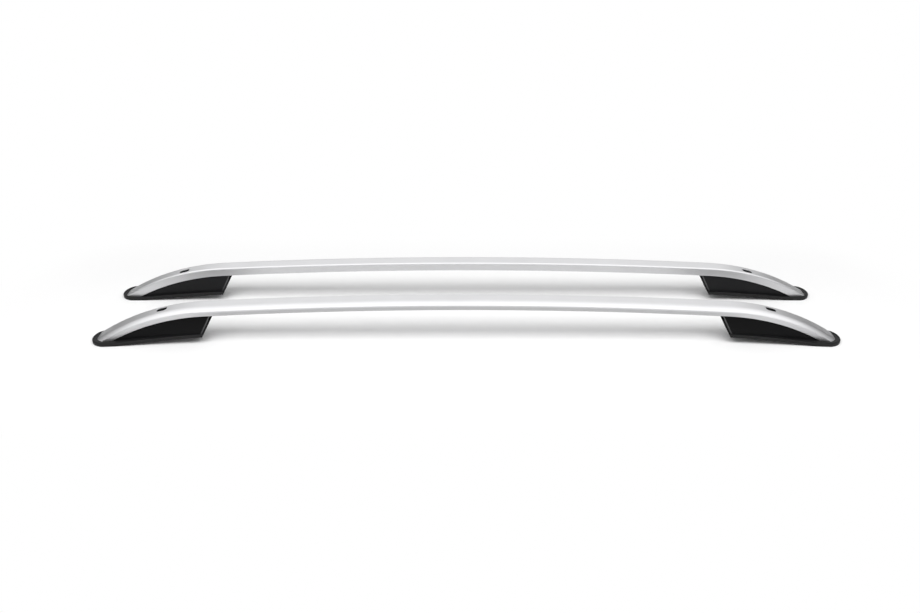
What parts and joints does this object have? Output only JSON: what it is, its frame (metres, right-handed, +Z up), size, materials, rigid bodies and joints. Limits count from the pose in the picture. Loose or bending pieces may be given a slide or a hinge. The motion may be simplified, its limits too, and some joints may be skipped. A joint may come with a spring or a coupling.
{
  "type": "roof side rail pair",
  "caption": "Pair of arched satin aluminium roof side rails on black moulded feet and rubber base gaskets, bolted to a car roof through oblong access holes near their ends.",
  "frame": {"origin": "on the standing surface, midway between the rails and midway between their front and rear noses", "axes": "+X forward along the car, +Y to its left, +Z up; the right rail is at -Y, and both rails lean in"},
  "size_m": [1.557, 0.259, 0.0936],
  "materials": {
    "anodised_aluminium": "satin silver anodised extrusion with fine lines along its length",
    "foot_plastic": "black moulded plastic with a fine grain",
    "gasket_rubber": "black moulded rubber, dull",
    "insert_plastic": "black moulded plastic, dull",
    "zinc_plated_steel": "bright zinc plate"
  },
  "bodies": {
    "root": {"right_bar": "anodised_aluminium", "right_front_insert": "insert_plastic", "right_front_foot": "foot_plastic", "right_front_gasket": "gasket_rubber", "right_front_foot_screw_1": "zinc_plated_steel", "right_front_foot_screw_2": "zinc_plated_steel", "right_rear_insert": "insert_plastic", "right_rear_foot": "foot_plastic", "right_rear_gasket": "gasket_rubber", "right_rear_foot_screw_1": "zinc_plated_steel", "right_rear_foot_screw_2": "zinc_plated_steel", "left_bar": "anodised_aluminium", "left_front_insert": "insert_plastic", "left_front_foot": "foot_plastic", "left_front_gasket": "gasket_rubber", "left_front_foot_screw_1": "zinc_plated_steel", "left_front_foot_screw_2": "zinc_plated_steel", "left_rear_insert": "insert_plastic", "left_rear_foot": "foot_plastic", "left_rear_gasket": "gasket_rubber", "left_rear_foot_screw_1": "zinc_plated_steel", "left_rear_foot_screw_2": "zinc_plated_steel"}
  },
  "joints": []
}
